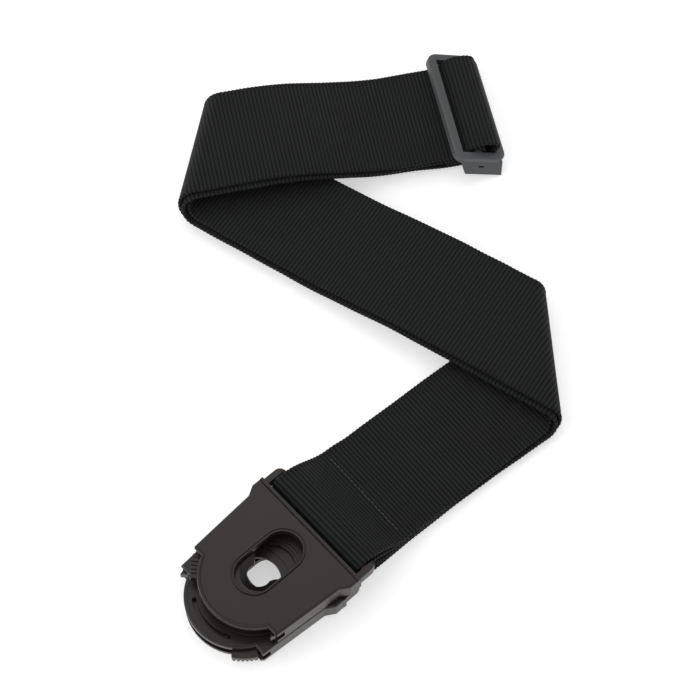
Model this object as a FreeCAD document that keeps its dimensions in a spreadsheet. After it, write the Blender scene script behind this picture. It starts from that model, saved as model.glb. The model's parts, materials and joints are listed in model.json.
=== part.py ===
import FreeCAD, Part
import math
import os
import re
from FreeCAD import Placement, Rotation, Vector

# A guitar strap of 2 inch webbing with a button lock at each end and a sliding bar adjuster.
# It lies folded in three runs: the front lock rests on the rear lock, and +X runs along the locks
# towards the webbing. The table is z = 0 and the origin is on it, under the middle of the whole
# folded strap. Each lock is drawn about its own strap-button axis and then seated.

doc = FreeCAD.newDocument("guitar_strap")
sheet = doc.addObject("Spreadsheet::Sheet", "dims")

SIZES = {
    # lock body, seen from its face: a D end about the button axis, sides that widen to the seam
    "lock_depth": 9.0,
    "base_depth": 2.6,
    "face_depth": 2.4,
    "nose_radius": 22.6,
    "shoulder_x": 10.0,
    "shoulder_half": 24.8,
    "flare_x": 20.0,
    "flare_half": 27.0,
    "seam_x": 28.0,
    "seam_half": 29.4,
    "arm_half": 28.8,
    "lip_height": 0.4,
    "bead_radius": 0.8,
    "window_x": 6.5,
    "front_x": -107.3,
    "front_y": -79.055,
    "front_lift": 9.5,
    "rear_lift": 9.4,
    "rear_shift": 7.3,
    "rear_side": 0.5,
    # opening for the strap button
    "opening_radius": 8.0,
    "opening_reach": 14.4,
    "opening_lip": 0.9,
    "entry_radius": 9.8,
    "entry_x": 8.0,
    "entry_step": 12.0,
    # locking dial
    "dial_x": 2.0,
    "dial_radius": 21.0,
    "dial_gap": 0.3,
    "neck_radius": 4.9,
    "throat_x": 11.5,
    "throat_radius": 10.4,
    "guide_inner": 15.5,
    "guide_outer": 16.7,
    "guide_play": 0.05,
    "guide_depth": 1.1,
    "peg_orbit": 20.1,
    "peg_radius": 0.8,
    "arc_half_angle": 31.0,
    "tab_angle": 131.0,
    "tab_reach": 27.3,
    "tab_length": 10.0,
    # release lever
    "lever_x": 5.0,
    "lever_y": 22.6,
    "lever_hub": 1.5,
    "lever_depth": 1.7,
    "pin_radius": 0.8,
    "pin_play": 0.05,
    "fin_x": 10.2,
    "fin_y": 23.2,
    "spring_radius": 1.2,
    "spring_wire": 0.2,
    # screws
    "screw_radius": 0.9,
    "screw_head": 1.8,
    "screw_front_x": 8.5,
    "screw_front_y": 23.1,
    "screw_rear_x": 23.8,
    "screw_rear_y": 22.5,
    # webbing slot frame of a lock
    "frame_end_x": 36.6,
    "frame_corner": 4.0,
    "frame_radius": 2.6,
    "frame_z": 4.6,
    "slot_half": 26.2,
    "slot_wall": 1.4,
    "bar_x": 34.4,
    "bar_radius": 2.2,
    # webbing
    "web_width": 50.8,
    "web_thick": 1.7,
    "web_pitch": 2.0,
    "web_loop": 3.35,
    "web_skew": 2.0,
    "stack_z": 3.1,
    "run_start_x": 75.0,
    "run_heading": 3.18,
    "run_one": 78.9,
    "run_two": 170.2,
    "run_three": 84.2,
    "fold_one_angle": 35.7,
    "fold_two_angle": 22.25,
    "fold_one_radius": 3.33,
    "fold_two_radius": 5.54,
    "drop_two": 4.43,
    "drop_three": 10.2,
    # length slider
    "slider_length": 60.0,
    "slider_width": 25.2,
    "slider_depth": 3.8,
    "slider_slot": 6.6,
    "slider_slot_length": 52.6,
    "slider_bar": 4.0,
    "slider_bar_depth": 3.0,
    "slider_cheek": 5.2,
    "slider_flare": 3.6,
    "slider_tilt": 20.0,
    "slider_ahead": 34.0,
    "slider_rise": 3.0,
    "stitch_x": 57.5,
    "stitch_pitch": 2.1,
    "stitch_radius": 0.28,
}
for row, (word, value) in enumerate(SIZES.items(), 1):
    sheet.set("A%d" % row, word)
    sheet.set("B%d" % row, str(value))
    sheet.setAlias("B%d" % row, word)
doc.recompute()

WORD = re.compile(r"[a-z][a-z_0-9]*")
NODES = []


def size(word):
    """The number that the sheet holds for one word."""
    return float(sheet.get(word))


def bound(text):
    """An expression written in plain words, with each word tied to the sheet."""
    return WORD.sub(lambda m: "dims." + m.group(0) if m.group(0) in SIZES else m.group(0), text)


def block(x, y, z):
    """A box between two expressions on each axis."""
    piece = doc.addObject("Part::Box", "block")
    for prop, axis, (low, high) in (("Length", "x", x), ("Width", "y", y), ("Height", "z", z)):
        piece.setExpression(prop, bound("(%s) - (%s)" % (high, low)))
        piece.setExpression("Placement.Base." + axis, bound(low))
    return piece


def rod(radius, x, y, z):
    """An upright cylinder at x, y between two heights."""
    piece = doc.addObject("Part::Cylinder", "rod")
    piece.setExpression("Radius", bound(radius))
    piece.setExpression("Height", bound("(%s) - (%s)" % (z[1], z[0])))
    piece.setExpression("Placement.Base.x", bound(x))
    piece.setExpression("Placement.Base.y", bound(y))
    piece.setExpression("Placement.Base.z", bound(z[0]))
    return piece


def bar(radius, x, z, half):
    """A cylinder lying along Y, centred on y = 0."""
    piece = doc.addObject("Part::Cylinder", "bar")
    piece.Placement = Placement(Vector(0, 0, 0), Rotation(Vector(1, 0, 0), -90))
    piece.setExpression("Radius", bound(radius))
    piece.setExpression("Height", bound("2 * (%s)" % half))
    piece.setExpression("Placement.Base.x", bound(x))
    piece.setExpression("Placement.Base.y", bound("-(%s)" % half))
    piece.setExpression("Placement.Base.z", bound(z))
    return piece


def taper(x, halves, z):
    """A slab whose half width goes from one value to another between two x."""
    piece = doc.addObject("Part::Wedge", "taper")
    piece.Placement = Placement(Vector(0, 0, 0), Rotation(Vector(0, 0, 1), -90))
    for prop, text in (("Xmin", "-(%s)" % halves[0]), ("Xmax", halves[0]),
                       ("X2min", "-(%s)" % halves[1]), ("X2max", halves[1]),
                       ("Ymin", x[0]), ("Ymax", x[1]),
                       ("Zmin", z[0]), ("Zmax", z[1]), ("Z2min", z[0]), ("Z2max", z[1])):
        piece.setExpression(prop, bound(text))
    return piece


def turned(piece, angle, x=0.0, y=0.0):
    """Turn a piece about the upright axis through x, y, keeping its own sizes bound."""
    group = doc.addObject("Part::Compound", "turned")
    group.Links = [piece]
    group.Placement = Placement(Vector(0, 0, 0), Rotation(Vector(0, 0, 1), angle), Vector(x, y, 0))
    return group


def joined(pieces):
    if len(pieces) == 1:
        return pieces[0]
    whole = doc.addObject("Part::MultiFuse", "joined")
    whole.Shapes = pieces
    whole.Refine = True
    return whole


def cut(base, tools):
    result = doc.addObject("Part::Cut", "cut")
    result.Base = base
    result.Tool = joined(tools)
    result.Refine = True
    return result


def eased_rim(base, height, radius):
    """Round every edge that lies at one height; a chamfer where the round can't be made."""
    doc.recompute()
    chosen = [number for number, edge in enumerate(base.Shape.Edges, 1)
              if all(abs(v.Point.z - height) < 1e-6 for v in edge.Vertexes)]
    for kind in ("Part::Fillet", "Part::Chamfer"):
        rim = doc.addObject(kind, "rim")
        rim.Base = base
        rim.Edges = [(number, radius, radius) for number in chosen]
        doc.recompute()
        if not rim.Shape.isNull() and rim.Shape.isValid() and rim.Shape.Volume > 0.8 * base.Shape.Volume:
            return rim
        doc.removeObject(rim.Name)
    return base


def finish(piece, name, seat=None):
    """Name a finished sub-part, seat it in the strap and keep it for export."""
    piece.Label = name
    if seat is not None:
        piece.Placement = seat.multiply(piece.Placement)
    NODES.append(piece)
    return piece


def slot_shape(radius, z):
    """The long round-ended opening for the strap button."""
    return [rod(radius, "0", "0", z), rod(radius, "opening_reach", "0", z),
            block(("0", "opening_reach"), ("-(%s)" % radius, radius), z)]


def lock_plan(z):
    """The D plan of a lock between two heights."""
    return joined([
        rod("nose_radius", "0", "0", z),
        taper(("-shoulder_x", "flare_x"), ("shoulder_half", "flare_half"), z),
        taper(("flare_x", "flare_x + 4"), ("flare_half", "seam_half"), z),
        block(("flare_x + 4", "seam_x"), ("-seam_half", "seam_half"), z)])


def screw_places():
    return [("screw_front_x", "screw_front_y"), ("screw_front_x", "-screw_front_y"),
            ("screw_rear_x", "screw_rear_y"), ("screw_rear_x", "-screw_rear_y")]


def nose_bead():
    """Rounded bead along the D end's top edge, with each end turned out to the shoulder."""
    ring = doc.addObject("Part::Torus", "bead")
    ring.Placement = Placement(Vector(0, 0, 0), Rotation(Vector(0, 0, 1), 117))
    ring.setExpression("Radius1", bound("nose_radius - bead_radius - 0.1"))
    ring.setExpression("Radius2", bound("bead_radius"))
    ring.setExpression("Angle3", "126")
    ring.setExpression("Placement.Base.z", bound("lock_depth + lip_height - bead_radius"))
    solids = [ring]
    reach = size("nose_radius") - size("bead_radius") - 0.1
    end_x, end_y = reach * math.cos(math.radians(117)), reach * math.sin(math.radians(117))
    for side in (-1, 1):
        arm = doc.addObject("Part::Cylinder", "bead_end")
        arm.Placement = Placement(Vector(end_x, side * end_y, 0), Rotation(Vector(1, 0, 0), -90 * side))
        arm.setExpression("Radius", bound("bead_radius"))
        arm.setExpression("Height", bound("shoulder_half - %s - 0.9" % end_y))
        arm.setExpression("Placement.Base.z", bound("lock_depth + lip_height - bead_radius"))
        ball = doc.addObject("Part::Sphere", "bead_corner")
        ball.setExpression("Radius", bound("bead_radius"))
        ball.setExpression("Placement.Base.x", str(end_x))
        ball.setExpression("Placement.Base.y", str(side * end_y))
        ball.setExpression("Placement.Base.z", bound("lock_depth + lip_height - bead_radius"))
        solids += [arm, ball]
    return solids


def lock_cover(name, seat):
    """Front shell: thick face with the button opening, side walls, and a window round the D end."""
    ceiling = "lock_depth - face_depth"
    plan = eased_rim(lock_plan(("base_depth", "lock_depth")), size("lock_depth"), 1.1)
    lip = cut(joined(slot_shape("opening_radius + opening_lip",
                                ("lock_depth - 1", "lock_depth + lip_height"))),
              slot_shape("opening_radius", ("lock_depth - 2", "lock_depth + 1")))
    lip = eased_rim(lip, size("lock_depth") + size("lip_height"), 0.3)
    groove = cut(joined(slot_shape("opening_radius + opening_lip + 0.5",
                                   ("lock_depth - 0.4", "lock_depth + 1"))),
                 slot_shape("opening_radius + opening_lip", ("lock_depth - 1", "lock_depth + 2")))
    low = "base_depth - 1"
    tools = [
        rod("dial_radius + dial_gap", "dial_x", "0", (low, ceiling)),
        block(("-40", "-window_x"), ("-40", "40"), (low, ceiling)),
        block(("-window_x - 1", "5"), ("-lever_y - 1.9", "-lever_y + 3"), (low, ceiling)),
        joined(slot_shape("opening_radius", (low, "lock_depth + 1"))),
        rod("pin_radius", "-lever_x", "-lever_y", (low, "lock_depth - 1"))]
    for x, y in screw_places():
        tools.append(rod("screw_radius", x, y, (low, "lock_depth - 2.2")))
    shell = cut(joined([cut(plan, [groove]), lip] + nose_bead()), tools)
    return finish(shell, name, seat)


def lock_base(name, seat):
    """Back shell: plate with the round button entry, the dial's guide groove and the slot frame."""
    plan = eased_rim(lock_plan(("0", "base_depth")), 0.0, 0.9)
    mid, high = "frame_z - frame_radius", "frame_z + frame_radius"
    solids = [plan,
              block(("seam_x - 0.5", "seam_x + slot_wall"), ("-seam_half", "seam_half"),
                    ("0.6", "base_depth - 0.05")),
              block(("seam_x + 0.05", "seam_x + slot_wall"), ("-seam_half", "seam_half"),
                    ("0.6", "lock_depth - 0.5"))]
    arms = joined([block(("seam_x + 0.1", "frame_end_x"), ("-arm_half", "arm_half"), (mid, high)),
                   bar("frame_radius", "frame_end_x", "frame_z", "arm_half")])
    corner_x, corner_y = "frame_end_x + frame_radius - frame_corner", "arm_half - frame_corner"
    outline = joined([
        block(("0", corner_x), ("-arm_half", "arm_half"), ("-5", "20")),
        block(("0", "frame_end_x + frame_radius"), ("-(%s)" % corner_y, corner_y), ("-5", "20")),
        rod("frame_corner", corner_x, corner_y, ("-5", "20")),
        rod("frame_corner", corner_x, "-(%s)" % corner_y, ("-5", "20"))])
    round_arms = doc.addObject("Part::MultiCommon", "round_arms")
    round_arms.Shapes = [arms, outline]
    between_arms = block(("seam_x + slot_wall", "60"), ("-slot_half", "slot_half"), ("-5", "20"))
    solids.append(cut(round_arms, [between_arms]))
    solids.append(bar("bar_radius", "bar_x", "frame_z", "slot_half + 0.2"))
    over = "base_depth + 1"
    arc = cut(rod("peg_orbit + 0.9", "dial_x", "0", ("-1", over)),
              [rod("peg_orbit - 0.9", "dial_x", "0", ("-2", "base_depth + 2"))])
    arc_wedge = doc.addObject("Part::Cylinder", "arc_wedge")
    arc_wedge.setExpression("Radius", bound("peg_orbit + 4"))
    arc_wedge.setExpression("Height", bound("base_depth + 2"))
    arc_wedge.setExpression("Angle", bound("2 * arc_half_angle"))
    arc_wedge.Placement = Placement(Vector(size("dial_x"), 0, -1),
                                    Rotation(Vector(0, 0, 1), 180 - size("arc_half_angle")))
    arc_part = doc.addObject("Part::MultiCommon", "arc_part")
    arc_part.Shapes = [arc, arc_wedge]
    tools = [
        rod("entry_radius", "entry_x", "0", ("-1", over)),
        rod("entry_step", "entry_x", "0", ("base_depth - 0.7", over)),
        cut(rod("guide_outer + guide_play", "dial_x", "0", ("base_depth - guide_depth - 0.2", over)),
            [rod("guide_inner - guide_play", "dial_x", "0", ("-2", "base_depth + 2"))]),
        arc_part,
        rod("nose_radius - 1.5", "0", "0", ("-1", "0.4")),
        rod("pin_radius", "-lever_x", "-lever_y", ("1", over))]
    for turn in (-1, 1):
        end = rod("0.9", "dial_x - peg_orbit * cos(arc_half_angle)",
                  "%d * peg_orbit * sin(arc_half_angle)" % turn, ("-1", over))
        tools.append(end)
    for x, y in screw_places():
        tools.append(rod("screw_radius + 0.1", x, y, ("-1", over)))
        tools.append(rod("screw_head + 0.15", x, y, ("-1", "1.2")))
    return finish(cut(joined(solids), tools), name, seat)


def locking_dial(name, seat):
    """C-shaped wheel: neck notch and throat, ribbed thumb tab, ratchet notches, guide rib and peg."""
    low, high = "base_depth + dial_gap", "lock_depth - face_depth - dial_gap"
    solids = [rod("dial_radius", "0", "0", (low, high)),
              cut(rod("guide_outer", "0", "0", ("base_depth - guide_depth", "base_depth + 1")),
                  [rod("guide_inner", "0", "0", ("0", "base_depth + 2"))])]
    peg_turn = 180 - size("arc_half_angle") + 2.0
    solids.append(turned(rod("peg_radius", "peg_orbit", "0", ("1.5", "base_depth + 1")), peg_turn))
    tab = [block(("dial_radius - 1", "tab_reach - 1.2"), ("-tab_length / 2", "tab_length / 2"), (low, high))]
    for rib in range(6):
        tab.append(turned(rod("0.95", "tab_reach - 0.95", "0", (low, high)), (rib - 2.5) * 3.7))
    grooves = []
    for rib in range(5):
        groove = block(("dial_radius + 2", "tab_reach + 1"), ("-0.35", "0.35"),
                       ("%s - 0.5" % high, "lock_depth"))
        grooves.append(turned(groove, (rib - 2) * 3.7))
    solids.append(turned(cut(joined(tab), grooves), size("tab_angle")))
    funnel = taper(("0", "throat_x - 5"), ("neck_radius - 1.4", "throat_radius - 1.7"), ("0", "lock_depth"))
    cone = doc.addObject("Part::Cone", "funnel_slope")
    cone.setExpression("Radius1", bound("neck_radius - 0.2"))
    cone.setExpression("Radius2", bound("neck_radius + 3"))
    cone.setExpression("Height", "2.6")
    cone.setExpression("Placement.Base.z", bound("lock_depth - face_depth - dial_gap - 2.4"))
    tools = [rod("neck_radius", "0", "0", ("0", "lock_depth")), funnel, cone,
             rod("throat_radius", "throat_x", "0", ("0", "lock_depth")),
             block(("throat_x", "40"), ("-throat_radius", "throat_radius"), ("0", "lock_depth")),
             block(("7.5", "40"), ("-40", "40"), ("-1", "base_depth + dial_gap"))]
    for angle in (221.6, 227.6, 233.6, 239.6):
        notch = doc.addObject("Part::Box", "notch")
        for prop in ("Length", "Width"):
            notch.setExpression(prop, "1.0")
        notch.setExpression("Height", bound("lock_depth"))
        turn = math.radians(angle)
        reach = size("dial_radius") - 0.6
        notch.Placement = Placement(Vector(reach * math.cos(turn), reach * math.sin(turn), 0),
                                    Rotation(Vector(0, 0, 1), angle - 45))
        tools.append(notch)
    on_axis = seat.multiply(Placement(Vector(size("dial_x"), 0, 0), Rotation()))
    return finish(cut(joined(solids), tools), name, on_axis)


def release_lever(name, seat):
    """Lever on a pin beside the dial: ratchet nose one way, finger fin the other."""
    low = "base_depth + dial_gap"
    high = "base_depth + dial_gap + lever_depth"
    nose_y = -(size("dial_radius") + 0.05)
    fin_turn = math.degrees(math.atan2(-size("fin_y") + size("lever_y"), -size("fin_x") + size("lever_x")))
    arm = doc.addObject("Part::Box", "fin_arm")
    reach = math.hypot(size("fin_x") - size("lever_x"), size("fin_y") - size("lever_y"))
    arm.setExpression("Length", str(reach))
    arm.setExpression("Width", "1.6")
    arm.setExpression("Height", bound("lever_depth"))
    level = size("base_depth") + size("dial_gap")
    arm.Placement = Placement(Vector(-size("lever_x"), -size("lever_y"), level),
                              Rotation(Vector(0, 0, 1), fin_turn)).multiply(
        Placement(Vector(0, -0.8, 0), Rotation()))
    fin = doc.addObject("Part::Prism", "fin")
    fin.Polygon = 3
    fin.setExpression("Circumradius", "2.0")
    fin.setExpression("Height", bound("lock_depth - face_depth - base_depth - 2 * dial_gap"))
    fin.Placement = Placement(Vector(-size("fin_x"), -size("fin_y") + 0.6, level),
                              Rotation(Vector(0, 0, 1), fin_turn + 8))
    solids = [rod("lever_hub", "-lever_x", "-lever_y", (low, high)),
              block(("-lever_x", "3.4"), ("-lever_y - 0.8", "-lever_y + 0.6"), (low, high)),
              block(("1.6", "3.2"), ("-lever_y", str(nose_y)), (low, high)),
              arm, fin]
    hole = rod("pin_radius + pin_play", "-lever_x", "-lever_y", ("0", "lock_depth"))
    return finish(cut(joined(solids), [hole]), name, seat)


def release_pin(name, seat):
    pin = rod("pin_radius", "-lever_x", "-lever_y", ("1", "lock_depth - 1"))
    return finish(turned(pin, 0.0), name, seat)


def release_spring(name, seat):
    """Torsion coil of round wire above the lever's hub, with one leg along the lever."""
    wire, coil = size("spring_wire"), size("spring_radius")
    floor = size("base_depth") + size("dial_gap") + size("lever_depth") + wire + 0.05
    points = []
    for step in range(49):
        angle = math.radians(-90 + step * 900 / 48.0)
        points.append(Vector(coil * math.cos(angle), coil * math.sin(angle), floor + step * 1.05 / 48.0))
    points.insert(0, points[0] + Vector(-3.0, 0, 0))
    path = Part.Wire([Part.makeLine(points[0], points[1]), curve_edge(points[1:])])
    start = Part.Wire(Part.makeCircle(wire, points[0], points[1] - points[0]))
    solid = path.makePipeShell([start], True, False)
    spring = doc.addObject("Part::Feature", "spring")
    spring.Shape = solid
    spring.Placement = Placement(Vector(-size("lever_x"), -size("lever_y"), 0), Rotation())
    return finish(spring, name, seat)


def curve_edge(points):
    curve = Part.BSplineCurve()
    curve.interpolate(points)
    return curve.toShape()


def lock_screws(name, seat):
    """Four pan-head screws that go in from the back."""
    screws = []
    for x, y in screw_places():
        head = joined([rod("screw_radius", x, y, ("0.4", "lock_depth - 2.4")),
                       rod("screw_head", x, y, ("0.2", "1.2"))])
        cross = [block(("%s - 1.1" % x, "%s + 1.1" % x), ("%s - 0.2" % y, "%s + 0.2" % y), ("0", "0.7")),
                 block(("%s - 0.2" % x, "%s + 0.2" % x), ("%s - 1.1" % y, "%s + 1.1" % y), ("0", "0.7"))]
        screws.append(cut(head, cross))
    group = doc.addObject("Part::Compound", "screws")
    group.Links = screws
    return finish(group, name, seat)


def button_lock(prefix, seat):
    lock_cover(prefix + "_lock_cover", seat)
    lock_base(prefix + "_lock_base", seat)
    locking_dial(prefix + "_locking_dial", seat)
    release_lever(prefix + "_release_lever", seat)
    release_pin(prefix + "_release_pin", seat)
    release_spring(prefix + "_release_spring", seat)
    lock_screws(prefix + "_lock_screws", seat)


home = Vector(size("front_x"), size("front_y"), 0)
front_seat = Placement(home + Vector(0, 0, size("front_lift")), Rotation())
rear_seat = Placement(home + Vector(-size("rear_shift"), size("rear_side"), size("rear_lift")),
                      Rotation(Vector(1, 0, 0), 180))
button_lock("front", front_seat)
button_lock("rear", rear_seat)

# The webbing is one 2 inch strip. Its path is a list of places, each with a point in the middle of
# the strip and the line across it; the three layers follow one folded centre sheet.


def ease(value):
    return 0.5 - 0.5 * math.cos(math.pi * min(max(value, 0.0), 1.0))


def centre_sheet():
    """Places of the folded centre sheet: point, line across, normal. Folds turn about slanted lines."""
    heading = -math.radians(size("run_heading"))
    along = Vector(math.cos(heading), math.sin(heading), 0)
    across = Vector(-math.sin(heading), math.cos(heading), 0)
    start = size("run_start_x")
    sway = math.tan(heading) * (start - 40) / 2
    point = home + Vector(start, sway, size("stack_z"))
    hinges = []

    def gentle(at, length, angle):
        for step in range(5):
            hinges.append((at + length * step / 4.0, 0.0, angle / 5.0))

    def fold(at, slant, radius, sense):
        length = math.pi * radius / math.cos(slant)
        for step in range(12):
            hinges.append((at + length * (step + 0.5) / 12.0, slant, sense * math.pi / 12.0))
        return at + length

    end = fold(size("run_one"), math.radians(size("fold_one_angle")), size("fold_one_radius"), 1)
    slope = math.atan2(size("drop_two"), 41.0)
    gentle(end + 50, 16, slope)
    gentle(end + 91, 16, -slope)
    end = fold(end + size("run_two"), math.radians(size("fold_two_angle")), size("fold_two_radius"), -1)
    slope = math.atan2(size("drop_three"), 44.0)
    gentle(end + 24, 16, -slope)
    gentle(end + 68, 16, slope)
    last = end + size("run_three")
    places = [(point, across, along.cross(across))]
    reached = 0.0
    for at, slant, angle in hinges:
        point = point + along * (at - reached)
        reached = at
        line = across * math.cos(slant) + along * math.sin(slant)
        before = along.cross(across)
        turn = Rotation(line * -1, math.degrees(angle))
        skewed = across + along * math.tan(slant)
        along = turn.multVec(along)
        across = turn.multVec(across)
        normal = (before + along.cross(across)).normalize()
        places.append((point, skewed, normal))
    point = point + along * (last - reached)
    places.append((point, across, along.cross(across)))
    return places, along, across


def lock_end(height, xs):
    """Places between a lock's bar and the folded stack, at the height that a rule gives for each x."""
    heading = -math.radians(size("run_heading"))
    result = []
    for x in xs:
        past = max(x - 40.0, 0.0)
        turn = heading * past / 35.0
        sway = math.tan(heading) * past * past / 70.0
        result.append((home + Vector(x, sway, height(x)), Vector(-math.sin(turn), math.cos(turn), 0)))
    return result


def loop(centre, radius, first, last, steps, along=Vector(1, 0, 0), across=Vector(0, 1, 0)):
    result = []
    for step in range(steps + 1):
        angle = math.radians(first + (last - first) * step / float(steps))
        around = along * (radius * math.cos(angle)) + Vector(0, 0, radius * math.sin(angle))
        result.append((centre + around, across))
    return result


def curved(points, steps=3):
    """Points on a smooth curve through the given ones."""
    result = []
    for i in range(len(points) - 1):
        before, start, end, after = (points[max(i - 1, 0)], points[i], points[i + 1],
                                     points[min(i + 2, len(points) - 1)])
        for step in range(steps):
            t = step / float(steps)
            result.append(tuple(
                0.5 * (2 * start[k] + (end[k] - before[k]) * t
                       + (2 * before[k] - 5 * start[k] + 4 * end[k] - after[k]) * t * t
                       + (3 * start[k] - before[k] - 3 * end[k] + after[k]) * t ** 3) for k in (0, 1)))
    result.append(points[-1])
    return result


places, slider_along, slider_across = centre_sheet()
pitch = size("web_pitch")
stack = size("stack_z")
front_bar = home + Vector(size("bar_x"), 0, size("front_lift") + size("frame_z"))
rear_bar = home + Vector(size("bar_x") - size("rear_shift"), 0, size("rear_lift") - size("frame_z"))
reach = size("web_loop")
slider_bar = places[-1][0] + slider_along * size("slider_ahead") + Vector(0, 0, size("slider_rise"))


def layer(offset, skew=0.0):
    result = []
    count = len(places)
    for number, (point, line, normal) in enumerate(places):
        fade = min(1.0, number / 1.0, (count - 1 - number) / 8.0)
        result.append((point + normal * offset + line * (skew * fade), line))
    return result


def at_slider(points, steps=3):
    return [(slider_bar + slider_along * x + Vector(0, 0, z), slider_across)
            for x, z in curved(points, steps)]


def lap_height(x):
    return front_bar.z - reach - (front_bar.z - reach - stack - pitch) * ease((x - 38.0) / 18.0)


def top_height(x):
    high = front_bar.z + reach
    lapped = stack + 2 * pitch
    return high - (high - lapped) * ease((x - 36.5) / 22.0) - pitch * ease((x - 60.5) / 9.0)


def rear_upper_height(x):
    return rear_bar.z + reach - (rear_bar.z + reach - stack) * ease((x - 30.0) / 20.0)


def rear_lower_height(x):
    return rear_bar.z - reach - (rear_bar.z - reach - stack + pitch) * ease((x - 30.0) / 20.0)


lap_xs = [60, 57, 54, 51, 48, 45, 42, 39, 36.5]
top_xs = [36.5, 39, 42, 45, 48, 51, 54, 57, 60, 62, 64, 66, 68, 70, 72]
path = lock_end(lap_height, lap_xs)
path += loop(front_bar, reach, -90, -270, 12)
path += lock_end(top_height, top_xs)
path += layer(pitch)
path += at_slider([(-26, -1.0), (-15, -1.0), (-9.5, -0.5), (-5.8, 1.8), (-3.2, 4.3), (0, 5.3), (4.5, 5.5),
                   (8.4, 4.2), (9.7, 1.9), (8.2, -0.2), (6.6, -2.4), (4.6, -4.8), (1.0, -6.5), (-4, -7.0),
                   (-14, -7.0), (-22, -6.0), (-28, -5.2)])
path += list(reversed(layer(-pitch)))
path += lock_end(rear_lower_height, [72, 60, 50, 46, 42, 38, 34, 31])
path += loop(rear_bar, reach, -90, -270, 12)
path += lock_end(rear_upper_height, [31, 34, 37, 40, 43, 46, 50, 56, 64])
path += layer(0.0, -size("web_skew"))
path += at_slider([(-26, -3.0), (-15, -3.1), (-9.5, -2.7), (-6.0, -1.6), (-3.7, -0.3)], 2)[:-1]
path += loop(slider_bar, 3.1, 175, -90, 14, slider_along, slider_across)
path += at_slider([(-2.5, -3.6), (-5, -4.2), (-9, -4.8), (-15, -4.9)], 2)


def strip(stations, width, thick):
    """A closed strip of constant thickness through all its places."""
    wires = []
    count = len(stations)
    for i, (point, line) in enumerate(stations):
        before = stations[max(i - 1, 0)][0]
        after = stations[min(i + 1, count - 1)][0]
        travel = Vector(0, 0, 0)
        if i > 0:
            travel += (point - before).normalize()
        if i < count - 1:
            travel += (after - point).normalize()
        normal = travel.cross(line).normalize()
        side = line * (width / 2.0)
        rise = normal * (thick / 2.0)
        corners = [point + side + rise, point - side + rise, point - side - rise, point + side - rise]
        wires.append(Part.makePolygon(corners + [corners[0]]))
    return Part.makeLoft(wires, True, True)


webbing = doc.addObject("Part::Feature", "webbing")
webbing.Shape = strip(path, size("web_width"), size("web_thick"))
finish(webbing, "strap_webbing")


def stitch_row(name, count, place, radius):
    """Separate thread stitches in one row across the strip; place gives each one's middle and line."""
    rods = []
    for number in range(count):
        middle, line = place((number - (count - 1) / 2.0) * size("stitch_pitch"))
        length = size("stitch_pitch") * 0.72
        rods.append(Part.makeCylinder(radius, length, middle - line * (length / 2.0), line))
    row = doc.addObject("Part::Feature", name)
    row.Shape = Part.makeCompound(rods)
    return finish(row, name)


def front_stitch(offset):
    point, line = lock_end(top_height, [size("stitch_x")])[0]
    return point + line * offset + Vector(0, 0, size("web_thick") / 2 + 0.12), line


def slider_stitch(offset):
    lift = Vector(0, 0, -4.87 - size("web_thick") / 2)
    return slider_bar + slider_along * -11.5 + slider_across * offset + lift, slider_across


stitch_row("lock_end_stitches", 20, front_stitch, size("stitch_radius"))
stitch_row("slider_end_stitches", 20, slider_stitch, 0.15)


def end_cheek(side):
    """Deep end wall under the slider's frame, which leans outwards towards its foot."""
    wall = doc.addObject("Part::Wedge", "cheek")
    wall.Placement = Placement(Vector(0, 0, 0), Rotation(Vector(1, 0, 0), -90))
    inner, outer = "slider_slot_length / 2 + 0.3", "slider_length / 2 - 0.4"
    near = (inner, outer) if side > 0 else ("-(%s)" % outer, "-(%s)" % inner)
    lean = "%d * slider_flare" % side
    for prop, text in (("Xmin", "2.5 - slider_width / 2"), ("Xmax", "slider_width / 2 - 1.5"),
                       ("X2min", "6 - slider_width / 2"), ("X2max", "slider_width / 2 - 0.8"),
                       ("Ymin", "0"), ("Ymax", "slider_cheek"),
                       ("Zmin", near[0]), ("Zmax", near[1]),
                       ("Z2min", "%s + %s" % (near[0], lean)), ("Z2max", "%s + %s" % (near[1], lean))):
        wall.setExpression(prop, bound(text))
    return wall


def length_slider(name):
    """Moulded frame with two slots and a thinner centre bar that the webbing goes round."""
    half, deep = "slider_width / 2", "slider_depth / 2"
    blank = block(("-(%s)" % half, half), ("-slider_length / 2", "slider_length / 2"),
                  ("-(%s)" % deep, deep))
    doc.recompute()
    corners = [n for n, edge in enumerate(blank.Shape.Edges, 1)
               if abs(edge.Vertexes[0].Z - edge.Vertexes[-1].Z) > 1]
    rounded = doc.addObject("Part::Fillet", "corners")
    rounded.Base = blank
    rounded.Edges = [(n, 5.0, 5.0) for n in corners]
    doc.recompute()
    soft = eased_rim(rounded, size("slider_depth") / 2, 0.8)
    soft = eased_rim(soft, -size("slider_depth") / 2, 0.8)
    window = block(("-slider_bar / 2 - slider_slot", "slider_bar / 2 + slider_slot"),
                   ("-slider_slot_length / 2", "slider_slot_length / 2"), ("-10", "10"))
    grip = "slider_slot_length / 2 + 0.5"
    core = "slider_bar_depth / 2"
    offset = "(slider_bar - slider_bar_depth) / 2"
    middle = [bar(core, offset, "0", grip), bar(core, "-(%s)" % offset, "0", grip),
              block(("-(%s)" % offset, offset), ("-(%s)" % grip, grip), ("-(%s)" % core, core))]
    cheeks = [end_cheek(side) for side in (-1, 1)]
    gate = block(("-0.4", "2.2"), ("-slider_length / 2 - 4", "-slider_length / 2 - 0.3"), ("-2.7", "-1.9"))
    frame = cut(joined([cut(soft, [window])] + middle + cheeks), [gate])
    level = Rotation(slider_along, slider_across, Vector(0, 0, 1), "XYZ")
    tilt = Rotation(Vector(0, 1, 0), size("slider_tilt"))
    return finish(frame, name, Placement(slider_bar, level.multiply(tilt)))


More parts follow.
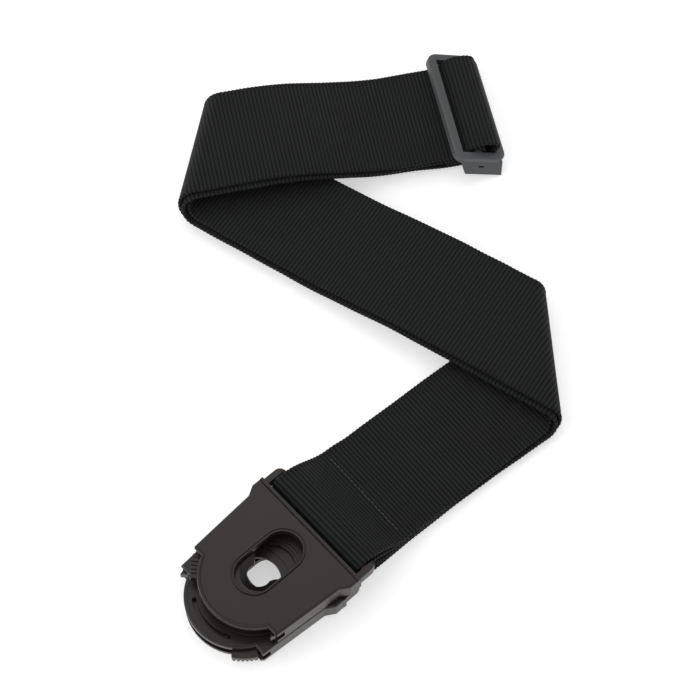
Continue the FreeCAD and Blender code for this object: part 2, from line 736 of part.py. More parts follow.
length_slider("length_slider")
doc.recompute()
os.makedirs("parts", exist_ok=True)
overall = FreeCAD.BoundBox()
for node in NODES:
    faults = [state for state in node.State if state in ("Invalid", "Error")]
    if faults or node.Shape.isNull() or not node.Shape.isValid():
        raise RuntimeError("%s: %s" % (node.Label, faults or "shape not valid"))
    if not node.Shape.Solids:
        raise RuntimeError("%s has no solid" % node.Label)
    node.Shape.exportStep("parts/%s.step" % node.Label)
    box = node.Shape.BoundBox
    overall.add(box)
    print("%s: %d solids, %.1f mm3, %.1f x %.1f x %.1f mm" % (
        node.Label, len(node.Shape.Solids), node.Shape.Volume, box.XLength, box.YLength, box.ZLength))
print("overall x %.2f %.2f  y %.2f %.2f  z %.3f %.2f" % (
    overall.XMin, overall.XMax, overall.YMin, overall.YMax, overall.ZMin, overall.ZMax))
print("slider bar at", slider_bar, "across", slider_across)
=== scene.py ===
import json
import math

import bmesh
import bpy
import numpy as np
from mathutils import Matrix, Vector


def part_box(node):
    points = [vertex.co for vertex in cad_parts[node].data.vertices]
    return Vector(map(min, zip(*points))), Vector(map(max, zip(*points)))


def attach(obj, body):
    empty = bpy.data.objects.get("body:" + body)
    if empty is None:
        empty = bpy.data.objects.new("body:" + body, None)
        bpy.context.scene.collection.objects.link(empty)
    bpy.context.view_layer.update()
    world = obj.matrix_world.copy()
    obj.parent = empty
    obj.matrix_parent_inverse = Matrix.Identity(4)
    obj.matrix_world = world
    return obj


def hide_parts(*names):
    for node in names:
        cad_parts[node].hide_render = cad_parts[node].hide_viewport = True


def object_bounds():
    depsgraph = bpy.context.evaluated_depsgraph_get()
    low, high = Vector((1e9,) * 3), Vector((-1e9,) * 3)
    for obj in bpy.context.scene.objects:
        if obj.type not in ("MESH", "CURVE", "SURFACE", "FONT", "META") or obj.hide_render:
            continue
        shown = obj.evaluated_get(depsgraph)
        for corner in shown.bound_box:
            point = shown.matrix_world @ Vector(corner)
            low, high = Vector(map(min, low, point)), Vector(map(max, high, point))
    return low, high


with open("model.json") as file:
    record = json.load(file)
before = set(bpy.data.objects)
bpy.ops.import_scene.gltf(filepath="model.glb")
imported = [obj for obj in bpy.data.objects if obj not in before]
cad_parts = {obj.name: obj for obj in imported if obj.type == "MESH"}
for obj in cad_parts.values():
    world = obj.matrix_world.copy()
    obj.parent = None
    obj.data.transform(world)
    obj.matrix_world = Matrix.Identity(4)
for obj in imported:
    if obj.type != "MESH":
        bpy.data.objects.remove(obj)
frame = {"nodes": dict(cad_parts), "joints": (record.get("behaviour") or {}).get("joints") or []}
cad_low, cad_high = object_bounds()
nodes = frame["nodes"]
joints = {joint["name"]: joint for joint in frame["joints"]}

# Moulded lock shells. Each lock is a cover and a base of black glass-filled nylon, injection
# moulded with a fine satin skin and screwed together, with all outer edges eased by the tool.


def surface_group():
    """Group for moulded skin: broad tone drift, fine spark grain and sparse scuffs, all from noise
    of position."""
    group = bpy.data.node_groups.new("moulded_skin", "ShaderNodeTree")
    for name, kind, default in (("Position", "NodeSocketVector", None),
                                ("Grain per metre", "NodeSocketFloat", 2600.0),
                                ("Roughness", "NodeSocketFloat", 0.4),
                                ("Scuff", "NodeSocketFloat", 0.3)):
        socket = group.interface.new_socket(name=name, in_out="INPUT", socket_type=kind)
        if default is not None:
            socket.default_value = default
    for name in ("Tone", "Rough", "Height"):
        group.interface.new_socket(name=name, in_out="OUTPUT", socket_type="NodeSocketFloat")
    tree = group.nodes
    link = group.links.new
    entry = tree.new("NodeGroupInput")
    leave = tree.new("NodeGroupOutput")

    def noise(scale, detail, rough=0.5):
        node = tree.new("ShaderNodeTexNoise")
        node.inputs["Scale"].default_value = scale
        node.inputs["Detail"].default_value = detail
        node.inputs["Roughness"].default_value = rough
        link(entry.outputs["Position"], node.inputs["Vector"])
        return node

    def remap(source, low, high, to_low, to_high):
        node = tree.new("ShaderNodeMapRange")
        node.inputs["From Min"].default_value = low
        node.inputs["From Max"].default_value = high
        node.inputs["To Min"].default_value = to_low
        node.inputs["To Max"].default_value = to_high
        link(source, node.inputs["Value"])
        return node.outputs["Result"]

    def maths(operation, first, second):
        node = tree.new("ShaderNodeMath")
        node.operation = operation
        for socket, value in zip(node.inputs, (first, second)):
            if isinstance(value, (int, float)):
                socket.default_value = value
            else:
                link(value, socket)
        return node.outputs[0]

    broad = noise(34.0, 2.0)
    fine = noise(2600.0, 2.0)
    link(entry.outputs["Grain per metre"], fine.inputs["Scale"])
    stretch = tree.new("ShaderNodeMapping")
    stretch.inputs["Rotation"].default_value = (0.0, 0.0, 0.7)
    stretch.inputs["Scale"].default_value = (14.0, 1.0, 1.0)
    link(entry.outputs["Position"], stretch.inputs["Vector"])
    streak = noise(60.0, 5.0, 0.7)
    link(stretch.outputs["Vector"], streak.inputs["Vector"])
    scuff = maths("MULTIPLY", remap(streak.outputs["Fac"], 0.62, 0.72, 0.0, 1.0), entry.outputs["Scuff"])
    drift = remap(broad.outputs["Fac"], 0.3, 0.7, 0.88, 1.12)
    spark = remap(fine.outputs["Fac"], 0.3, 0.7, 0.92, 1.08)
    link(maths("ADD", maths("MULTIPLY", drift, spark), maths("MULTIPLY", scuff, 0.25)), leave.inputs["Tone"])
    rough = maths("ADD", entry.outputs["Roughness"], remap(broad.outputs["Fac"], 0.3, 0.7, -0.03, 0.03))
    link(maths("ADD", rough, maths("MULTIPLY", scuff, 0.12)), leave.inputs["Rough"])
    link(maths("SUBTRACT", fine.outputs["Fac"], maths("MULTIPLY", scuff, 0.4)), leave.inputs["Height"])
    return group


moulded_skin = surface_group()


def moulded_plastic(name, colour, roughness, scuff, grain=2600.0, relief=0.00002,
                    glint=(1, 0.9, 0.85, 1)):
    """Black moulded plastic: colour times the skin's tone, with its roughness and its grain as bump."""
    material = bpy.data.materials.new(name)
    material.use_nodes = True
    tree, link = material.node_tree.nodes, material.node_tree.links.new
    shader = tree["Principled BSDF"]
    shader.inputs["IOR"].default_value = 1.5
    shader.inputs["Specular Tint"].default_value = glint
    place = tree.new("ShaderNodeTexCoord")
    skin = tree.new("ShaderNodeGroup")
    skin.node_tree = moulded_skin
    skin.inputs["Grain per metre"].default_value = grain
    skin.inputs["Roughness"].default_value = roughness
    skin.inputs["Scuff"].default_value = scuff
    link(place.outputs["Object"], skin.inputs["Position"])
    tint = tree.new("ShaderNodeVectorMath")
    tint.operation = "SCALE"
    tint.inputs[0].default_value = colour
    link(skin.outputs["Tone"], tint.inputs["Scale"])
    link(tint.outputs["Vector"], shader.inputs["Base Color"])
    link(skin.outputs["Rough"], shader.inputs["Roughness"])
    bump = tree.new("ShaderNodeBump")
    bump.inputs["Strength"].default_value = 0.5
    bump.inputs["Distance"].default_value = relief
    link(skin.outputs["Height"], bump.inputs["Height"])
    link(bump.outputs["Normal"], shader.inputs["Normal"])
    return material


def dress(names, material):
    for name in names:
        nodes[name].data.materials.clear()
        nodes[name].data.materials.append(material)


dress([side + part for side in ("front", "rear") for part in ("_lock_cover", "_lock_base")],
      moulded_plastic("lock_shell_plastic", (0.0185, 0.0135, 0.011), 0.36, 0.3))

# Locking dials. A C-shaped wheel of the same nylon, run between the shells, whose ribbed thumb tab
# is handled and so slightly more polished.
dress(["front_locking_dial", "rear_locking_dial"],
      moulded_plastic("dial_plastic", (0.016, 0.012, 0.0098), 0.3, 0.45, 3000.0))

# Release levers. Small black acetal levers on a pin at the shoulder of each lock.
dress(["front_release_lever", "rear_release_lever"],
      moulded_plastic("lever_plastic", (0.0165, 0.0125, 0.0102), 0.28, 0.2, 3000.0))


# Pins and springs. Bright drawn steel, with fine draw lines along the wire that vary its polish.
def drawn_steel(name, colour, roughness):
    """Steel whose roughness and colour follow noise stretched along the pin's upright axis."""
    material = bpy.data.materials.new(name)
    material.use_nodes = True
    tree, link = material.node_tree.nodes, material.node_tree.links.new
    shader = tree["Principled BSDF"]
    shader.inputs["Metallic"].default_value = 1.0
    place = tree.new("ShaderNodeTexCoord")
    stretch = tree.new("ShaderNodeMapping")
    stretch.inputs["Scale"].default_value = (1.0, 1.0, 0.05)
    link(place.outputs["Object"], stretch.inputs["Vector"])
    lines = tree.new("ShaderNodeTexNoise")
    lines.inputs["Scale"].default_value = 6000.0
    lines.inputs["Detail"].default_value = 3.0
    link(stretch.outputs["Vector"], lines.inputs["Vector"])
    polish = tree.new("ShaderNodeMapRange")
    polish.inputs["To Min"].default_value = roughness - 0.08
    polish.inputs["To Max"].default_value = roughness + 0.1
    link(lines.outputs["Fac"], polish.inputs["Value"])
    link(polish.outputs["Result"], shader.inputs["Roughness"])
    tone = tree.new("ShaderNodeMapRange")
    tone.inputs["To Min"].default_value = 0.85
    tone.inputs["To Max"].default_value = 1.1
    link(lines.outputs["Fac"], tone.inputs["Value"])
    tint = tree.new("ShaderNodeVectorMath")
    tint.operation = "SCALE"
    tint.inputs[0].default_value = colour
    link(tone.outputs["Result"], tint.inputs["Scale"])
    link(tint.outputs["Vector"], shader.inputs["Base Color"])
    bump = tree.new("ShaderNodeBump")
    bump.inputs["Strength"].default_value = 0.3
    bump.inputs["Distance"].default_value = 0.00001
    link(lines.outputs["Fac"], bump.inputs["Height"])
    link(bump.outputs["Normal"], shader.inputs["Normal"])
    return material


dress([side + part for side in ("front", "rear") for part in ("_release_pin", "_release_spring")],
      drawn_steel("drawn_steel", (0.56, 0.56, 0.57), 0.3))

# Lock screws. Pan heads with a cross recess, black oxide over steel.
dress(["front_lock_screws", "rear_lock_screws"],
      drawn_steel("black_oxide_steel", (0.045, 0.045, 0.05), 0.42))

# Length slider. A two-slot frame moulded in dark grey acetal, a little lighter and more matt than
# the locks, that the webbing runs through.
dress(["length_slider"],
      moulded_plastic("slider_plastic", (0.088, 0.092, 0.1), 0.42, 0.35, 2200.0, 0.00003, (1, 1, 1, 1)))

# Webbing. One 2 inch strip of black polypropylene, woven with a cross rib every 1.75 mm and a tight
# rolled selvage on both sides. From the lap at the front lock it goes round the lock's bar, along
# the three folded runs to the slider, back under itself to the rear lock, and again to the slider,
# where its end is sewn round the centre bar.
RIB = 0.00175
RIB_DEPTH = 0.00017
YARN = 0.0008
MAP_PER_METRE = 10
LAYER = 0.002
STACK = 0.0031
LOOP = 0.00335
HEADING = math.radians(-3.18)
RUN_START = 0.075
BAR_X = 0.0344

front_bar = np.array(joints["front_lock_fold"]["pos_m"], float)
rear_bar = np.array(joints["rear_lock_fold"]["pos_m"], float)
slider_bar = np.array(joints["slider_tilt"]["pos_m"], float)
slider_across = np.array(joints["slider_tilt"]["axis"], float)
slider_across /= np.linalg.norm(slider_across)
slider_along = np.cross(slider_across, (0.0, 0.0, 1.0))
home = np.array([front_bar[0] - BAR_X, front_bar[1], 0.0])


def turned(vector, axis, angle):
    """A vector turned about an axis by the right-hand rule (Rodrigues' formula)."""
    axis = axis / np.linalg.norm(axis)
    return (vector * math.cos(angle) + np.cross(axis, vector) * math.sin(angle)
            + axis * (axis @ vector) * (1 - math.cos(angle)))


def folded_sheet():
    """Folded middle sheet of the strap: at each crease the strip turns by a small angle about a line
    across it that is slanted by the fold's angle. Rows hold point, ruling (across + tan(slant) * along),
    normal and tan(slant)."""
    creases = []

    def gentle(at, length, angle):
        creases.extend((at + length * k / 4, 0.0, angle / 5) for k in range(5))

    def fold(at, slant, radius, sense):
        length = math.pi * radius / math.cos(slant)
        creases.extend((at + length * (k + 0.5) / 12, slant, sense * math.pi / 12) for k in range(12))
        return at + length

    end = fold(0.0789, math.radians(35.7), 0.00333, 1)
    slope = math.atan2(4.43, 41.0)
    gentle(end + 0.050, 0.016, slope)
    gentle(end + 0.091, 0.016, -slope)
    end = fold(end + 0.1702, math.radians(22.25), 0.00554, -1)
    slope = math.atan2(10.2, 44.0)
    gentle(end + 0.024, 0.016, -slope)
    gentle(end + 0.068, 0.016, slope)
    along = np.array([math.cos(HEADING), math.sin(HEADING), 0.0])
    across = np.array([-math.sin(HEADING), math.cos(HEADING), 0.0])
    point = home + np.array([RUN_START, math.tan(HEADING) * (RUN_START - 0.040) / 2, STACK])
    rows = [np.r_[point, across, np.cross(along, across), 0.0]]
    reached = 0.0
    for at, slant, angle in creases:
        point = point + along * (at - reached)
        reached = at
        crease = across * math.cos(slant) + along * math.sin(slant)
        before = np.cross(along, across)
        ruling = across + along * math.tan(slant)
        along, across = turned(along, -crease, angle), turned(across, -crease, angle)
        normal = before + np.cross(along, across)
        rows.append(np.r_[point, ruling, normal / np.linalg.norm(normal), math.tan(slant)])
    point = point + along * (end + 0.0842 - reached)
    rows.append(np.r_[point, across, np.cross(along, across), 0.0])
    return np.array(rows)


sheet_rows = folded_sheet()


def layer(offset, skew=0.0):
    """One layer of the folded stack: the middle sheet moved along its normal, and sideways except at
    its two ends."""
    count = len(sheet_rows)
    fade = np.minimum(1.0, np.minimum(np.arange(count), (count - 1 - np.arange(count)) / 8))[:, None]
    points = sheet_rows[:, :3] + sheet_rows[:, 6:9] * offset + sheet_rows[:, 3:6] * (skew * fade)
    return np.c_[points, sheet_rows[:, 3:6], sheet_rows[:, 9]]


def backwards(rows):
    """The same places in the other direction, where the slant of each ruling counts the other way."""
    turned_rows = rows[::-1].copy()
    turned_rows[:, 6] *= -1
    return turned_rows


def ease(value):
    """Half a cosine wave from 0 to 1."""
    return 0.5 - 0.5 * np.cos(np.pi * np.clip(value, 0.0, 1.0))


def lock_end(height, xs):
    """Places between a lock's bar and the stack, x from the lock's button axis in mm, height a rule of x."""
    x = np.array(xs, float) / 1000
    past = np.maximum(x - 0.040, 0.0)
    turn = HEADING * past / 0.035
    points = home + np.c_[x, math.tan(HEADING) * past ** 2 / 0.070, height(x)]
    return np.c_[points, -np.sin(turn), np.cos(turn), 0 * x, 0 * x]


def round_bar(centre, radius, first, last, steps, along, across):
    """An arc about a bar, from one angle to another in degrees."""
    angle = np.radians(np.linspace(first, last, steps + 1))[:, None]
    points = centre + along * radius * np.cos(angle) + np.array([0.0, 0.0, 1.0]) * radius * np.sin(angle)
    return np.c_[points, np.repeat([across], steps + 1, 0), np.zeros(steps + 1)]


def at_slider(path_mm):
    """Places about the slider's centre bar: along the strap and up, in mm, joined by a smooth curve
    (Catmull-Rom: each span's tangents are half the chord between its neighbours)."""
    given = np.array(path_mm, float) / 1000
    before = np.r_[given[:1], given[:-2]]
    start, stop = given[:-1], given[1:]
    after = np.r_[given[2:], given[-1:]]
    t = (np.arange(4) / 4)[None, :, None]
    before, start, stop, after = (a[:, None, :] for a in (before, start, stop, after))
    curve = 0.5 * (2 * start + (stop - before) * t + (2 * before - 5 * start + 4 * stop - after) * t ** 2
                   + (3 * start - before - 3 * stop + after) * t ** 3)
    flat = np.r_[curve.reshape(-1, 2), given[-1:]]
    points = slider_bar + flat[:, :1] * slider_along + flat[:, 1:] * np.array([0.0, 0.0, 1.0])
    return np.c_[points, np.repeat([slider_across], len(flat), 0), np.zeros(len(flat))]


def lap_height(x):
    return front_bar[2] - LOOP - (front_bar[2] - LOOP - STACK - LAYER) * ease((x - 0.038) / 0.018)


def top_height(x):
    high = front_bar[2] + LOOP
    drop = (high - STACK - 2 * LAYER) * ease((x - 0.0365) / 0.022)
    return high - drop - LAYER * ease((x - 0.0605) / 0.009)


def rear_upper_height(x):
    return rear_bar[2] + LOOP - (rear_bar[2] + LOOP - STACK) * ease((x - 0.030) / 0.020)


def rear_lower_height(x):
    return rear_bar[2] - LOOP - (rear_bar[2] - LOOP - STACK + LAYER) * ease((x - 0.030) / 0.020)


level_x, level_y = np.array([1.0, 0.0, 0.0]), np.array([0.0, 1.0, 0.0])
stations = np.concatenate([
    lock_end(lap_height, [60, 57, 54, 51, 48, 45, 42, 39, 36.5]),
    round_bar(front_bar, LOOP, -90, -270, 16, level_x, level_y),
    lock_end(top_height, [36.5, 39, 42, 45, 48, 51, 54, 57, 60, 62, 64, 66, 68, 70, 72]),
    layer(LAYER),
    at_slider([(-26, -1.0), (-15, -1.0), (-9.5, -0.5), (-5.8, 1.8), (-3.2, 4.3), (0, 5.3), (4.5, 5.5),
               (8.4, 4.2), (9.7, 1.9), (8.2, -0.2), (6.6, -2.4), (4.6, -4.8), (1.0, -6.5), (-4, -7.0),
               (-14, -7.0), (-22, -6.0), (-28, -5.2)]),
    backwards(layer(-LAYER)),
    lock_end(rear_lower_height, [72, 60, 50, 46, 42, 38, 34, 31]),
    round_bar(rear_bar, LOOP, -90, -270, 16, level_x, level_y),
    lock_end(rear_upper_height, [31, 34, 37, 40, 43, 46, 50, 56, 64]),
    layer(0.0, -0.002),
    at_slider([(-26, -3.0), (-15, -3.1), (-9.5, -2.7), (-6.0, -1.6), (-3.7, -0.3)])[:-1],
    round_bar(slider_bar, 0.0031, 175, -90, 18, slider_along, slider_across),
    at_slider([(-2.5, -3.6), (-5, -4.2), (-9, -4.8), (-15, -4.9)])])


def even_path(rows, step, soft):
    """Places every step metres along the strip, each value softened by a bell-shaped average."""
    gaps = np.linalg.norm(np.diff(rows[:, :3], axis=0), axis=1)
    keep = np.r_[True, gaps > 1e-5]
    rows = rows[keep]
    reached = np.r_[0.0, np.cumsum(np.linalg.norm(np.diff(rows[:, :3], axis=0), axis=1))]
    length = np.arange(0.0, reached[-1], step)
    even = np.stack([np.interp(length, reached, rows[:, k]) for k in range(7)], axis=1)
    reach = int(3 * soft / step)
    bell = np.exp(-0.5 * (np.arange(-reach, reach + 1) * step / soft) ** 2)
    bell /= bell.sum()
    padded = np.r_[2 * even[:1] - even[reach:0:-1], even, 2 * even[-1:] - even[-2:-reach - 2:-1]]
    smooth = np.stack([np.convolve(padded[:, k], bell, "valid") for k in range(7)], axis=1)
    gaps = np.linalg.norm(np.diff(smooth[:, :3], axis=0), axis=1)
    return np.r_[0.0, np.cumsum(gaps)], smooth


web_length, web_path = even_path(stations, 0.0003, 0.0009)
travel = np.gradient(web_path[:, :3], web_length, axis=0)
web_normal = np.cross(travel, web_path[:, 3:6])
web_normal /= np.linalg.norm(web_normal, axis=1)[:, None]


def web_section():
    """Closed section of the strip: flat faces, a groove inside each selvage, a rolled selvage edge.
    Columns are the place across and the height, in metres, from the left selvage over the top and back."""
    side = np.array([25.38, 25.1, 24.5, 23.7, 23.2, 22.6])
    rise = np.array([0.30, 0.72, 0.90, 0.78, 0.70, 0.80])
    across = np.r_[side, 8.0, -8.0, -side[::-1]]
    height = np.r_[rise, 0.80, 0.80, rise[::-1]]
    return np.c_[np.r_[across, across[::-1]], np.r_[height, -height[::-1]]] / 1000


def woven_strip(name, section):
    """Strip surface: point(s, j) = centre(s) + v ruling(s) + h normal(s), where v and h are the section's
    place and height. The woven length there is m = s + v tan(slant), and near the selvages every rib
    sinks the height by its depth times (1 - |sin(pi m / rib)|) and draws the edge in by as much."""
    s = np.arange(0.0002, web_length[-1] - 0.0002, RIB / 4)
    v, h = section[:, 0], section[:, 1]
    value = np.concatenate([web_path, web_normal], axis=1)
    here = np.stack([np.interp(s, web_length, value[:, k]) for k in range(10)], axis=1)[:, None, :]
    woven = s[:, None] + v[None, :] * here[:, :, 6]
    trough = 1 - np.abs(np.sin(np.pi * woven / RIB))
    trough = np.where(np.abs(v)[None, :] > 0.0224, trough, 0.36)
    sunk = h[None, :] - np.sign(h)[None, :] * RIB_DEPTH * trough
    rolled = v[None, :] - np.sign(v)[None, :] * (np.abs(v)[None, :] > 0.0249) * 0.00026 * trough
    slack = 0.00010 * np.sin(s / 0.0137) + 0.00006 * np.sin(s / 0.0043 + 1.3)
    rolled = rolled + slack[:, None]
    points = here[:, :, :3] + rolled[:, :, None] * here[:, :, 3:6] + sunk[:, :, None] * here[:, :, 7:10]
    rows, columns = points.shape[:2]
    index = np.arange(rows * columns).reshape(rows, columns)
    near, far = index[:-1], index[1:]
    quads = np.stack([near, np.roll(near, -1, 1), np.roll(far, -1, 1), far], axis=2).reshape(-1, 4)
    mesh = bpy.data.meshes.new(name)
    faces = quads.tolist() + [index[0, ::-1].tolist(), index[-1].tolist()]
    mesh.from_pydata(points.reshape(-1, 3), [], faces)
    corner = np.zeros(len(mesh.loops), np.int32)
    mesh.loops.foreach_get("vertex_index", corner)
    place = np.stack(np.broadcast_arrays(woven, v[None, :]), axis=2).reshape(-1, 2) * MAP_PER_METRE
    mesh.uv_layers.new(name="weave").data.foreach_set("uv", place[corner].astype(np.float32).ravel())
    mesh.shade_smooth()
    strip = bpy.data.objects.new(name, mesh)
    bpy.context.scene.collection.objects.link(strip)
    return strip


def webbing_cloth():
    """Black woven cloth from the strip's own map: painted shade that darkens the troughs between ribs and
    leaves the crests lighter, fine yarns across each rib that change side from rib to rib, slow colour drift
    and fibre noise."""
    material = bpy.data.materials.new("webbing_cloth")
    material.use_nodes = True
    tree, link = material.node_tree.nodes, material.node_tree.links.new
    shader = tree["Principled BSDF"]
    shader.inputs["Specular IOR Level"].default_value = 0.16
    shader.inputs["Sheen Weight"].default_value = 0.03
    shader.inputs["Sheen Roughness"].default_value = 0.5

    def maths(operation, first, second=0.0):
        node = tree.new("ShaderNodeMath")
        node.operation = operation
        for socket, value in zip(node.inputs, (first, second)):
            if isinstance(value, (int, float)):
                socket.default_value = value
            else:
                link(value, socket)
        return node.outputs[0]

    weave = tree.new("ShaderNodeUVMap")
    weave.uv_map = "weave"
    split = tree.new("ShaderNodeSeparateXYZ")
    link(weave.outputs["UV"], split.inputs["Vector"])
    rib = maths("MULTIPLY", split.outputs["X"], 1 / (MAP_PER_METRE * RIB))
    crest = maths("ABSOLUTE", maths("SINE", maths("MULTIPLY", rib, math.pi)))
    side = maths("MULTIPLY", maths("FRACT", maths("MULTIPLY", maths("FLOOR", rib), 0.5)), 2 * math.pi)
    yarns = maths("MULTIPLY", split.outputs["Y"], 2 * math.pi / (MAP_PER_METRE * YARN))
    yarn = maths("SINE", maths("ADD", yarns, side))
    twist = maths("SINE", maths("ADD", maths("MULTIPLY", rib, 6 * math.pi),
                                maths("MULTIPLY", split.outputs["Y"], 2 * math.pi / (MAP_PER_METRE * YARN))))
    fibre = tree.new("ShaderNodeTexNoise")
    fibre.inputs["Scale"].default_value = 420.0
    fibre.inputs["Detail"].default_value = 4.0
    fibre.inputs["Roughness"].default_value = 0.65
    link(weave.outputs["UV"], fibre.inputs["Vector"])
    broad = tree.new("ShaderNodeTexNoise")
    broad.inputs["Scale"].default_value = 9.0
    broad.inputs["Detail"].default_value = 2.0
    link(weave.outputs["UV"], broad.inputs["Vector"])
    height = maths("ADD", maths("MULTIPLY", crest, 0.55), maths("MULTIPLY", yarn, 0.14))
    height = maths("ADD", height, maths("MULTIPLY", twist, 0.06))
    height = maths("ADD", height, maths("MULTIPLY", fibre.outputs["Fac"], 0.25))
    # The crest term of the colour is painted shade: darker in the troughs between the ribs, lighter on the
    # crests.
    tone = maths("ADD", maths("MULTIPLY", crest, 0.6), maths("MULTIPLY", yarn, 0.08))
    tone = maths("ADD", tone, maths("MULTIPLY", fibre.outputs["Fac"], 0.6))
    tone = maths("ADD", tone, maths("MULTIPLY", broad.outputs["Fac"], 0.15))
    ramp = tree.new("ShaderNodeValToRGB")
    ramp.color_ramp.elements[0].position = 0.3
    ramp.color_ramp.elements[0].color = (0.0016, 0.0016, 0.0018, 1)
    ramp.color_ramp.elements[1].color = (0.0225, 0.0236, 0.0238, 1)
    link(tone, ramp.inputs["Fac"])
    link(ramp.outputs["Color"], shader.inputs["Base Color"])
    rough = tree.new("ShaderNodeMapRange")
    rough.inputs["To Min"].default_value = 0.92
    rough.inputs["To Max"].default_value = 0.66
    link(crest, rough.inputs["Value"])
    link(rough.outputs["Result"], shader.inputs["Roughness"])
    bump = tree.new("ShaderNodeBump")
    bump.inputs["Strength"].default_value = 0.9
    bump.inputs["Distance"].default_value = 0.00042
    link(height, bump.inputs["Height"])
    link(bump.outputs["Normal"], shader.inputs["Normal"])
    return material


webbing = woven_strip("webbing_strip", web_section())
webbing.data.materials.append(webbing_cloth())
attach(webbing, "strap")
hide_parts("strap_webbing")


# Sewn laps. Each end of the webbing is held by a row of lockstitches in grey bonded thread; each
# stitch is a short arch of twisted yarn that dips into the cloth at both ends.
STITCHES = 20
STITCH_PITCH = 0.0021
THREAD_RADIUS = 0.00021
STITCH_LIFT = 0.00012


def stitch_row(name, row, line, out):
    """Stitches along a line: centre(k, t) = row + line (k pitch + t length / 2) + out lift (1 - t^2), with
    a round section that closes at t = -1 and 1 and carries two twisted ridges."""
    t = np.sin(np.linspace(-np.pi / 2, np.pi / 2, 11))[None, :, None]
    turn = np.linspace(0, 2 * np.pi, 10, endpoint=False)[None, None, :]
    number = (np.arange(STITCHES) - (STITCHES - 1) / 2)[:, None, None]
    away = np.cross(line, out)
    thick = THREAD_RADIUS * np.sqrt(np.maximum(1 - t ** 4, 0)) * (1 + 0.14 * np.cos(2 * turn + 7 * t))
    uneven = 1 + 0.06 * np.sin(number * 2.7)
    along = number * STITCH_PITCH + t * STITCH_PITCH * 0.38 * uneven + 0 * turn
    side = thick * np.cos(turn) + 0 * number + 0.00012 * np.sin(number * 1.9)
    rise = thick * np.sin(turn) + STITCH_LIFT * (1 - t ** 2) + 0 * number
    points = row + along[..., None] * line + side[..., None] * away + rise[..., None] * out
    rows, columns = t.shape[1], turn.shape[2]
    index = np.arange(STITCHES * rows * columns).reshape(STITCHES, rows, columns)
    near, far = index[:, :-1], index[:, 1:]
    quads = np.stack([near, far, np.roll(far, -1, 2), np.roll(near, -1, 2)], axis=3).reshape(-1, 4)
    mesh = bpy.data.meshes.new(name)
    mesh.from_pydata(points.reshape(-1, 3), [], quads.tolist())
    shape = bmesh.new()
    shape.from_mesh(mesh)
    bmesh.ops.remove_doubles(shape, verts=shape.verts, dist=1e-6)
    bmesh.ops.recalc_face_normals(shape, faces=shape.faces)
    shape.to_mesh(mesh)
    shape.free()
    mesh.shade_smooth()
    thread = bpy.data.objects.new(name, mesh)
    bpy.context.scene.collection.objects.link(thread)
    return thread


def thread_yarn():
    """Grey bonded thread: twisted strands by slanted waves."""
    material = bpy.data.materials.new("thread_yarn")
    material.use_nodes = True
    tree, link = material.node_tree.nodes, material.node_tree.links.new
    shader = tree["Principled BSDF"]
    shader.inputs["Roughness"].default_value = 0.6
    place = tree.new("ShaderNodeTexCoord")
    strands = tree.new("ShaderNodeTexWave")
    strands.bands_direction = "DIAGONAL"
    strands.inputs["Scale"].default_value = 1400.0
    strands.inputs["Distortion"].default_value = 1.5
    link(place.outputs["Object"], strands.inputs["Vector"])
    # The strand waves also set the colour: painted shade, darker in the grooves between strands where the
    # bump is low.
    ramp = tree.new("ShaderNodeValToRGB")
    ramp.color_ramp.elements[0].color = (0.035, 0.034, 0.033, 1)
    ramp.color_ramp.elements[1].color = (0.13, 0.125, 0.12, 1)
    link(strands.outputs["Fac"], ramp.inputs["Fac"])
    link(ramp.outputs["Color"], shader.inputs["Base Color"])
    bump = tree.new("ShaderNodeBump")
    bump.inputs["Strength"].default_value = 0.6
    bump.inputs["Distance"].default_value = 0.00005
    link(strands.outputs["Fac"], bump.inputs["Height"])
    link(bump.outputs["Normal"], shader.inputs["Normal"])
    return material


yarn_finish = thread_yarn()
low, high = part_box("lock_end_stitches")
front_row = stitch_row("lock_end_thread", np.array([*((low + high) / 2)]) + [0, 0, -0.0001],
                       np.array([-math.sin(HEADING / 2), math.cos(HEADING / 2), 0.0]),
                       np.array([0.0, 0.0, 1.0]))
low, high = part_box("slider_end_stitches")
slider_row = stitch_row("slider_end_thread", np.array([*((low + high) / 2)]), slider_across,
                        np.array([0.0, 0.0, -1.0]))
for thread, node in ((front_row, "lock_end_stitches"), (slider_row, "slider_end_stitches")):
    thread.data.materials.append(yarn_finish)
    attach(thread, "strap")
    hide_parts(node)

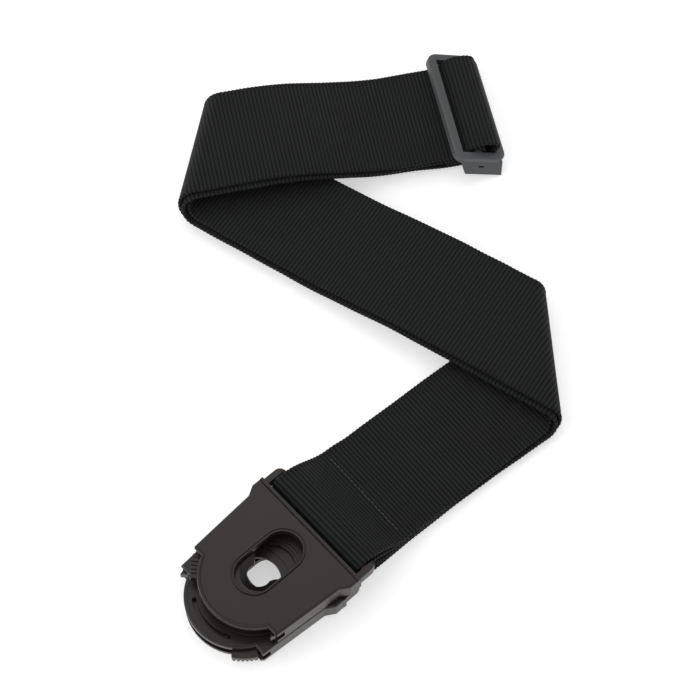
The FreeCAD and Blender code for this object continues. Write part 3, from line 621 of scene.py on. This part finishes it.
# Studio. A plain pale table under the strap, an even white surround and two large soft lights.
bpy.ops.mesh.primitive_plane_add(size=6.0, location=(0.0, 0.0, cad_low.z - 0.0001))
floor = bpy.context.object
floor.name = "studio_floor"
floor_finish = bpy.data.materials.new("pale_table")
floor_finish.use_nodes = True
floor_shader = floor_finish.node_tree.nodes["Principled BSDF"]
floor_shader.inputs["Base Color"].default_value = (0.9, 0.9, 0.9, 1)
floor_shader.inputs["Emission Color"].default_value = (1, 1, 1, 1)
floor_shader.inputs["Emission Strength"].default_value = 0.5
floor_shader.inputs["Roughness"].default_value = 0.9
floor_shader.inputs["Specular IOR Level"].default_value = 0.1
floor.data.materials.append(floor_finish)


def soft_light(name, place, aim, width, power):
    light = bpy.data.lights.new(name, "AREA")
    light.size = width
    light.energy = power
    lamp = bpy.data.objects.new(name, light)
    lamp.location = place
    lamp.rotation_euler = (Vector(aim) - Vector(place)).to_track_quat("-Z", "Y").to_euler()
    bpy.context.scene.collection.objects.link(lamp)


soft_light("overhead_soft_box", (0.25, 0.45, 0.9), (0, 0, 0), 0.8, 1.3)
soft_light("side_soft_box", (-0.7, 0.2, 0.5), (-0.05, -0.05, 0), 0.5, 1.2)
world = bpy.context.scene.world or bpy.data.worlds.new("studio")
bpy.context.scene.world = world
world.use_nodes = True
sky = world.node_tree.nodes["Background"]
sky.inputs["Color"].default_value = (1, 1, 1, 1)
sky.inputs["Strength"].default_value = 0.55
bpy.context.scene.view_settings.view_transform = "Standard"

lens = bpy.data.cameras.new("product_camera")
lens.sensor_width = 36.0
lens.lens = 91.85
lens.clip_start = 0.01
camera = bpy.data.objects.new("product_camera", lens)
aim = Vector((0.1009, 0.0560, 0.0)) + Vector(home)
rise, away = math.radians(61.4), math.radians(47.8)
back = Vector((-math.cos(rise) * math.cos(away), -math.cos(rise) * math.sin(away), math.sin(rise)))
camera.location = aim + back * 0.7642
camera.rotation_euler = (-back).to_track_quat("-Z", "Y").to_euler()
bpy.context.scene.collection.objects.link(camera)
bpy.context.scene.camera = camera
